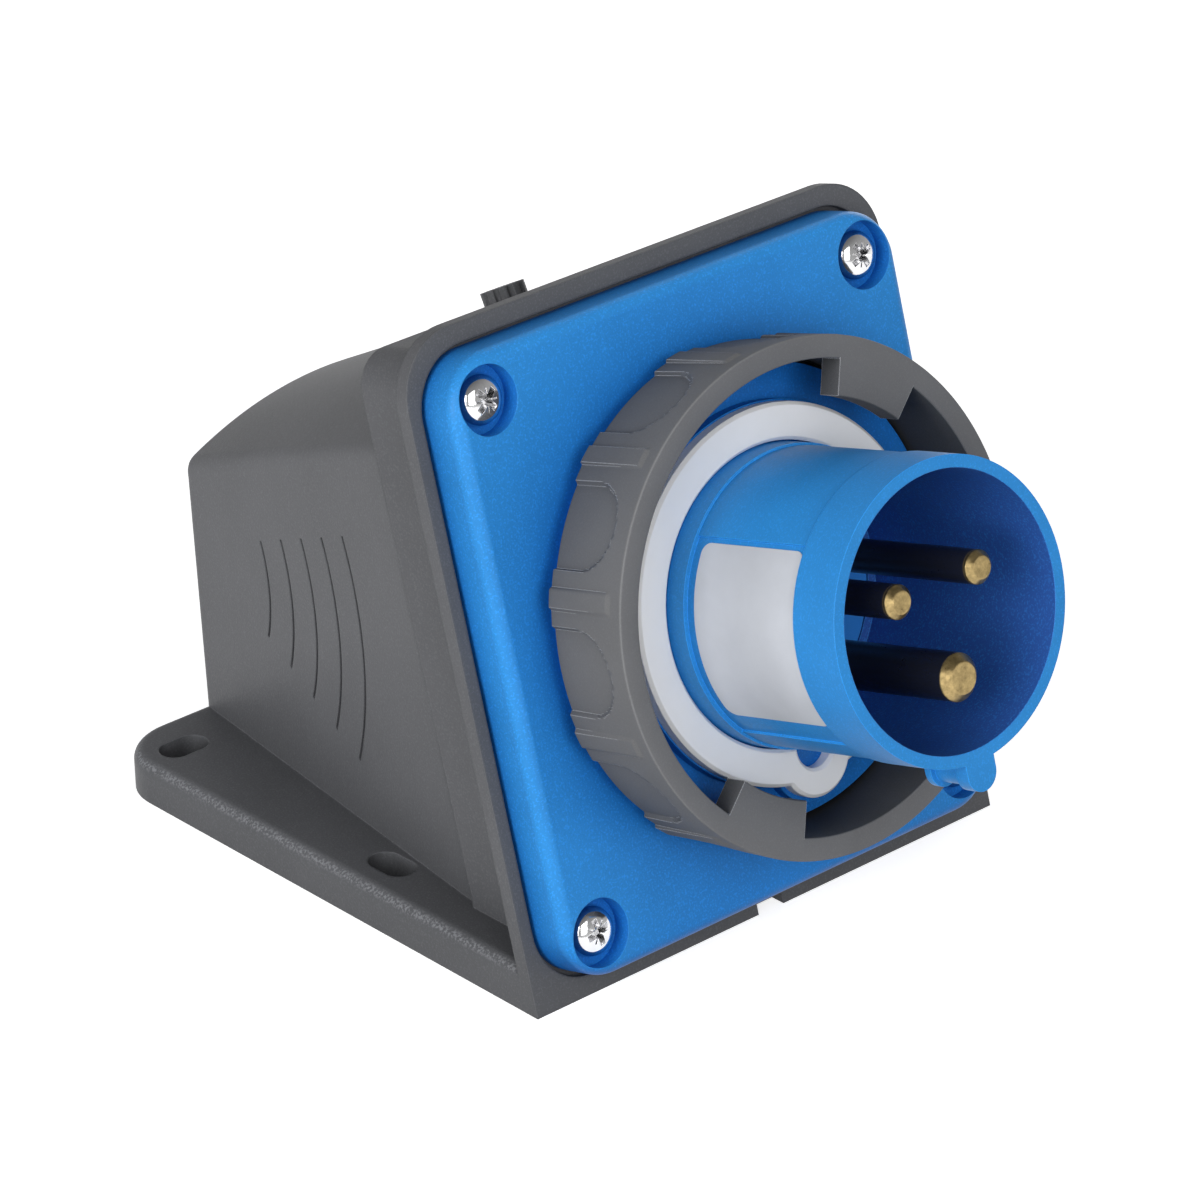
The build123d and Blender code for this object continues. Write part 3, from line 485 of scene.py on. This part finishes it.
# Screw in millimetres: radius and height of its outline from the crown of the head to the point,
# and the reach, half width and height of the bars that cut the cross and the ticks
SCREW_OUTLINE = (
    (0.0, 2.62), (0.9, 2.60), (1.7, 2.51), (2.4, 2.33), (2.95, 2.05), (3.35, 1.68), (3.62, 1.22),
    (3.76, 0.75), (3.8, 0.4), (3.74, 0.12), (3.6, 0.0), (2.0, 0.0), (2.0, -15.6), (1.6, -16.0), (0.0, -16.0),
)
SCREW_SEGMENTS = 72
CROSS_TOP = (2.35, 0.52, 3.0)
CROSS_BOTTOM = (1.15, 0.36, 0.75)
TICK_TOP = (2.5, 0.16, 3.0)
TICK_BOTTOM = (1.2, 0.1, 2.05)
SCREW_TURNS = (12.0, 40.0, 65.0, 28.0)
SCREW_SHARP = radians(28)


def lathe(form, outline, segments):
    """Closed surface turned about Z from pairs of radius and height."""
    rings = []
    for radius, height in outline:
        count = segments if radius else 1
        turns = [2 * pi * number / count for number in range(count)]
        rings.append([form.verts.new((radius * cos(a), radius * sin(a), height)) for a in turns])
    for first, second in zip(rings, rings[1:]):
        for i in range(segments):
            j = (i + 1) % segments
            corners = [
                first[i % len(first)],
                first[j % len(first)],
                second[j % len(second)],
                second[i % len(second)],
            ]
            form.faces.new(list(dict.fromkeys(corners)))


def wedge(form, top, bottom, turn):
    """Bar whose length and width shrink from its top to its bottom, turned about Z."""
    spin = Matrix.Rotation(turn, 4, "Z")
    rows = []
    for reach, half_width, height in (top, bottom):
        flat = [(-reach, -half_width), (reach, -half_width), (reach, half_width), (-reach, half_width)]
        rows.append([form.verts.new(spin @ Vector((x, y, height))) for x, y in flat])
    form.faces.new(rows[0])
    form.faces.new(list(reversed(rows[1])))
    for i in range(4):
        j = (i + 1) % 4
        form.faces.new((rows[0][i], rows[0][j], rows[1][j], rows[1][i]))


def mesh_object(name, form):
    """Object with a bmesh's faces turned outward."""
    bmesh.ops.recalc_face_normals(form, faces=form.faces[:])
    mesh = bpy.data.meshes.new(name)
    form.to_mesh(mesh)
    form.free()
    piece = bpy.data.objects.new(name, mesh)
    bpy.context.scene.collection.objects.link(piece)
    return piece


def smooth(piece, angle):
    """Smooth shading with sharp edges past an angle."""
    for face in piece.data.polygons:
        face.use_smooth = True
    piece.data.set_sharp_from_angle(angle=angle)


def screw_mesh():
    """Pan head screw with a cross recess and four fine ticks between its arms, in millimetres."""
    form = bmesh.new()
    lathe(form, SCREW_OUTLINE, SCREW_SEGMENTS)
    blank = mesh_object("screw_blank", form)
    cutters = []
    for number, (top, bottom, turn) in enumerate((
        (CROSS_TOP, CROSS_BOTTOM, 0.0),
        (CROSS_TOP, CROSS_BOTTOM, pi / 2),
        (TICK_TOP, TICK_BOTTOM, pi / 4),
        (TICK_TOP, TICK_BOTTOM, -pi / 4),
    )):
        form = bmesh.new()
        wedge(form, top, bottom, turn)
        cutter = mesh_object(f"screw_cutter_{number}", form)
        cut = blank.modifiers.new(f"cut_{number}", "BOOLEAN")
        cut.operation = "DIFFERENCE"
        cut.solver = "EXACT"
        cut.object = cutter
        cutters.append(cutter)
    shown = blank.evaluated_get(bpy.context.evaluated_depsgraph_get())
    mesh = bpy.data.meshes.new_from_object(shown)
    for spare in [blank] + cutters:
        bpy.data.objects.remove(spare)
    return mesh


# Coupling ring in millimetres: distances from its axis, and forward of the frame's face
RING_OUTER = 37.6
RING_OUTER_REAR = 36.95
RING_INNER = 34.2
RING_REAR = 9.4
RING_FRONT = 25.3
RING_ROUND = 0.25

# Its rear lip, which runs behind the retaining disc, and the window in it, between two turns in degrees
RING_LIP = 30.65
RING_LIP_FRONT = 11.4
RING_WINDOW = 32.15
RING_WINDOW_TURNS = (-98.0, -37.0)

# Its two lugs, opposite each other, with their middle and width in degrees
LUG_INNER = 28.85
LUG_REAR = 21.5
LUG_TURN = 57.2
LUG_SPAN = 24.8

# Its mesh: columns round it, rows along its side, and how near a lug's edge they come
RING_COLUMNS = 960
RING_ROW = 0.45
ROUND_STEPS = 4
LUG_CLEAR = 0.3
LUG_EDGE = 0.12
RING_WELD = 0.002
RING_SHARP = radians(35)

# Its grip ridges, lower towards the front, and the finger marks halfway between them
RIDGES = 11
RIDGE_TURN = 98.0
RIDGE_WIDTH = 3.0
RIDGE_REAR = 0.48
RIDGE_FRONT = 0.2
RIDGE_END = 22.8
MARK_RADIUS = 6.5
MARK_MIDDLE = 15.0
MARK_DEPTH = 0.6
SOFT_EDGE = 0.3


def ease(value):
    """Smooth rise from 0 to 1."""
    value = min(max(value, 0.0), 1.0)
    return value * value * (3 - 2 * value)


def side_radius(turn, forward):
    """Radius of the tapered side with its ridges and finger marks, at a turn and a distance forward."""
    share = (forward - RING_REAR) / (RING_FRONT - RING_REAR)
    body = RING_OUTER_REAR + share * (RING_OUTER - RING_OUTER_REAR)
    pitch = 360 / RIDGES
    from_ridge = (turn - RIDGE_TURN + pitch / 2) % pitch - pitch / 2
    aside = abs(radians(from_ridge)) * RING_OUTER
    across = ease((RIDGE_WIDTH / 2 - aside) / SOFT_EDGE + 0.5)
    ridge = across * ease((RIDGE_END - forward) / SOFT_EDGE)
    from_mark = pitch / 2 - abs(from_ridge)
    aside = radians(from_mark) * RING_OUTER
    ahead = max(forward - MARK_MIDDLE, 0.0)
    mark = ease((MARK_RADIUS - hypot(aside, ahead)) / SOFT_EDGE + 0.5)
    height = RIDGE_REAR + share * (RIDGE_FRONT - RIDGE_REAR)
    return body + height * ridge - MARK_DEPTH * mark


def quarter(centre_radius, centre_forward, start):
    """Points of a quarter round, from a start angle anticlockwise."""
    turns = [radians(start + 90 * number / ROUND_STEPS) for number in range(ROUND_STEPS + 1)]
    return [(centre_radius + RING_ROUND * cos(a), centre_forward + RING_ROUND * sin(a)) for a in turns]


def ring_section(turn):
    """Section of the ring at a turn in degrees: radius and distance forward, from the lip outward."""
    window = RING_WINDOW_TURNS[0] < (turn + 180) % 360 - 180 < RING_WINDOW_TURNS[1]
    lip = RING_WINDOW if window else RING_LIP
    from_lug = abs((turn - LUG_TURN + 90) % 180 - 90)
    inner = LUG_INNER if from_lug < LUG_SPAN / 2 else RING_INNER
    points = [(lip, RING_LIP_FRONT), (lip, RING_REAR)]
    side_start = RING_REAR + RING_ROUND
    points += quarter(side_radius(turn, side_start) - RING_ROUND, side_start, -90)
    side_end = RING_FRONT - RING_ROUND
    rows = int((side_end - side_start) / RING_ROW)
    for row in range(1, rows):
        forward = side_start + (side_end - side_start) * row / rows
        points.append((side_radius(turn, forward), forward))
    points += quarter(RING_OUTER - RING_ROUND, side_end, 0)
    points += quarter(inner + RING_ROUND, side_end, 90)
    points += [(inner, LUG_REAR), (RING_INNER, LUG_REAR), (RING_INNER, RING_LIP_FRONT)]
    return points


def make_ring():
    """Coupling ring with rounded edges, soft ridges, finger marks and two lugs."""
    turns = {360 * column / RING_COLUMNS for column in range(RING_COLUMNS)}
    for middle in (LUG_TURN, LUG_TURN + 180):
        for edge in (middle - LUG_SPAN / 2, middle + LUG_SPAN / 2):
            turns -= {turn for turn in turns if abs(turn - edge) < LUG_CLEAR}
            turns |= {edge - LUG_EDGE, edge + LUG_EDGE}
    form = bmesh.new()
    columns = []
    for turn in sorted(turns):
        a = radians(turn)
        columns.append([form.verts.new((r * cos(a), r * sin(a), n)) for r, n in ring_section(turn)])
    for i, column in enumerate(columns):
        following = columns[(i + 1) % len(columns)]
        for j in range(len(column)):
            k = (j + 1) % len(column)
            form.faces.new((column[j], following[j], following[k], column[k]))
    bmesh.ops.remove_doubles(form, verts=form.verts[:], dist=RING_WELD)
    form.transform(Matrix.Translation(AXIS_FOOT) @ FACE_TURN @ Matrix.Scale(MM, 4))
    ring = mesh_object("coupling_ring", form)
    smooth(ring, RING_SHARP)
    ring.data.materials.append(ring_plastic)
    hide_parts("bayonet_ring")
    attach(ring, "bayonet_ring")


def make_screws():
    """The four screws of the face plate, each stopped at its own turn."""
    single = screw_mesh()
    form = bmesh.new()
    corners = [(x, y) for x in (-SCREW_X, SCREW_X) for y in (-SCREW_Y, SCREW_Y)]
    for (x, y), turn in zip(corners, SCREW_TURNS):
        place = AXIS_FOOT + Vector((x, 0, 0)) + UP_FACE * y + OUT_OF_FACE * SCREW_SEAT
        spin = Matrix.Rotation(radians(turn), 4, "Z")
        copy = single.copy()
        copy.transform(Matrix.Translation(place) @ FACE_TURN @ spin @ Matrix.Scale(MM, 4))
        form.from_mesh(copy)
        bpy.data.meshes.remove(copy)
    bpy.data.meshes.remove(single)
    screws = mesh_object("face_plate_screws", form)
    smooth(screws, SCREW_SHARP)
    screws.data.materials.append(plated_metal)
    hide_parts("flange_screws")
    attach(screws, "housing")


def stage_material(name, seen, thrown):
    """White to the camera and to reflections, with the part's shadow, and darker in what it throws back."""
    material = bpy.data.materials.new(name)
    material.use_nodes = True
    tree = material.node_tree
    tree.nodes.clear()
    output = add(tree, "ShaderNodeOutputMaterial")
    bright = add(tree, "ShaderNodeBsdfDiffuse")
    bright.inputs["Color"].default_value = (*seen, 1)
    dark = add(tree, "ShaderNodeBsdfDiffuse")
    dark.inputs["Color"].default_value = (*thrown, 1)
    glow = add(tree, "ShaderNodeEmission")
    glow.inputs["Color"].default_value = (*WHITE, 1)
    glow.inputs["Strength"].default_value = FLOOR_GLOW
    path = add(tree, "ShaderNodeLightPath")
    either = add(tree, "ShaderNodeMath", operation="MAXIMUM")
    both = add(tree, "ShaderNodeAddShader")
    mix = add(tree, "ShaderNodeMixShader")
    tree.links.new(path.outputs["Is Camera Ray"], either.inputs[0])
    tree.links.new(path.outputs["Is Glossy Ray"], either.inputs[1])
    tree.links.new(bright.outputs["BSDF"], both.inputs[0])
    tree.links.new(glow.outputs["Emission"], both.inputs[1])
    tree.links.new(either.outputs["Value"], mix.inputs["Fac"])
    tree.links.new(dark.outputs["BSDF"], mix.inputs[1])
    tree.links.new(both.outputs["Shader"], mix.inputs[2])
    tree.links.new(mix.outputs["Shader"], output.inputs["Surface"])
    return material


def make_stage():
    """Large pale floor under the part."""
    mesh = bpy.data.meshes.new("floor")
    corners = [
        (-FLOOR_HALF, -FLOOR_HALF, 0),
        (FLOOR_HALF, -FLOOR_HALF, 0),
        (FLOOR_HALF, FLOOR_HALF, 0),
        (-FLOOR_HALF, FLOOR_HALF, 0),
    ]
    mesh.from_pydata(corners, [], [(0, 1, 2, 3)])
    mesh.materials.append(stage_material("floor_white", FLOOR_WHITE, FLOOR_SHADE))
    floor = bpy.data.objects.new("floor", mesh)
    bpy.context.scene.collection.objects.link(floor)


def area_light(name, place, power):
    """Soft square lamp at a place, turned to the part."""
    data = bpy.data.lights.new(name, "AREA")
    data.shape = "SQUARE"
    data.size = LAMP_SIZE
    data.energy = power
    lamp = bpy.data.objects.new(name, data)
    lamp.location = place
    toward = Vector(LAMP_AIM) - Vector(place)
    lamp.rotation_euler = toward.to_track_quat("-Z", "Y").to_euler()
    bpy.context.scene.collection.objects.link(lamp)


def make_world():
    """Pale world, darker overhead, that the camera sees as white."""
    world = bpy.data.worlds.new("studio")
    world.use_nodes = True
    tree = world.node_tree
    tree.nodes.clear()
    output = add(tree, "ShaderNodeOutputWorld")
    light = add(tree, "ShaderNodeBackground")
    light.inputs["Color"].default_value = (*WHITE, 1)
    place = add(tree, "ShaderNodeTexCoord")
    part = add(tree, "ShaderNodeSeparateXYZ")
    tree.links.new(place.outputs["Generated"], part.inputs[0])
    strength = span(tree, part.outputs["Z"], WORLD_LOW, WORLD_HIGH)
    tree.links.new(strength, light.inputs["Strength"])
    seen = add(tree, "ShaderNodeBackground")
    seen.inputs["Color"].default_value = (*WHITE, 1)
    seen.inputs["Strength"].default_value = WORLD_SEEN
    path = add(tree, "ShaderNodeLightPath")
    mix = add(tree, "ShaderNodeMixShader")
    tree.links.new(path.outputs["Is Camera Ray"], mix.inputs["Fac"])
    tree.links.new(light.outputs["Background"], mix.inputs[1])
    tree.links.new(seen.outputs["Background"], mix.inputs[2])
    tree.links.new(mix.outputs["Shader"], output.inputs["Surface"])
    bpy.context.scene.world = world


def make_lights():
    """Three big soft lamps, left, front and behind, and the world."""
    for name, place, power in LAMPS:
        area_light(name, place, power)
    make_world()


def make_camera():
    """Camera at the photograph's place, with its roll."""
    back = Vector((
        sin(CAMERA_AZIMUTH) * cos(CAMERA_ELEVATION),
        -cos(CAMERA_AZIMUTH) * cos(CAMERA_ELEVATION),
        sin(CAMERA_ELEVATION),
    ))
    level_right = Vector((cos(CAMERA_AZIMUTH), sin(CAMERA_AZIMUTH), 0))
    level_up = back.cross(level_right)
    right = level_right * cos(CAMERA_ROLL) + level_up * sin(CAMERA_ROLL)
    up = level_up * cos(CAMERA_ROLL) - level_right * sin(CAMERA_ROLL)
    data = bpy.data.cameras.new("photo_camera")
    data.lens = CAMERA_LENS
    data.sensor_width = CAMERA_SENSOR
    data.clip_start = CAMERA_NEAR
    data.clip_end = CAMERA_FAR
    camera = bpy.data.objects.new("photo_camera", data)
    place = CAMERA_TARGET + back * CAMERA_DISTANCE
    turn = Matrix((right, up, back)).transposed().to_4x4()
    camera.matrix_world = Matrix.Translation(place) @ turn
    bpy.context.scene.collection.objects.link(camera)
    bpy.context.scene.camera = camera


make_ring()
make_screws()
make_stage()
make_lights()
make_camera()
bpy.context.scene.view_settings.view_transform = "Standard"
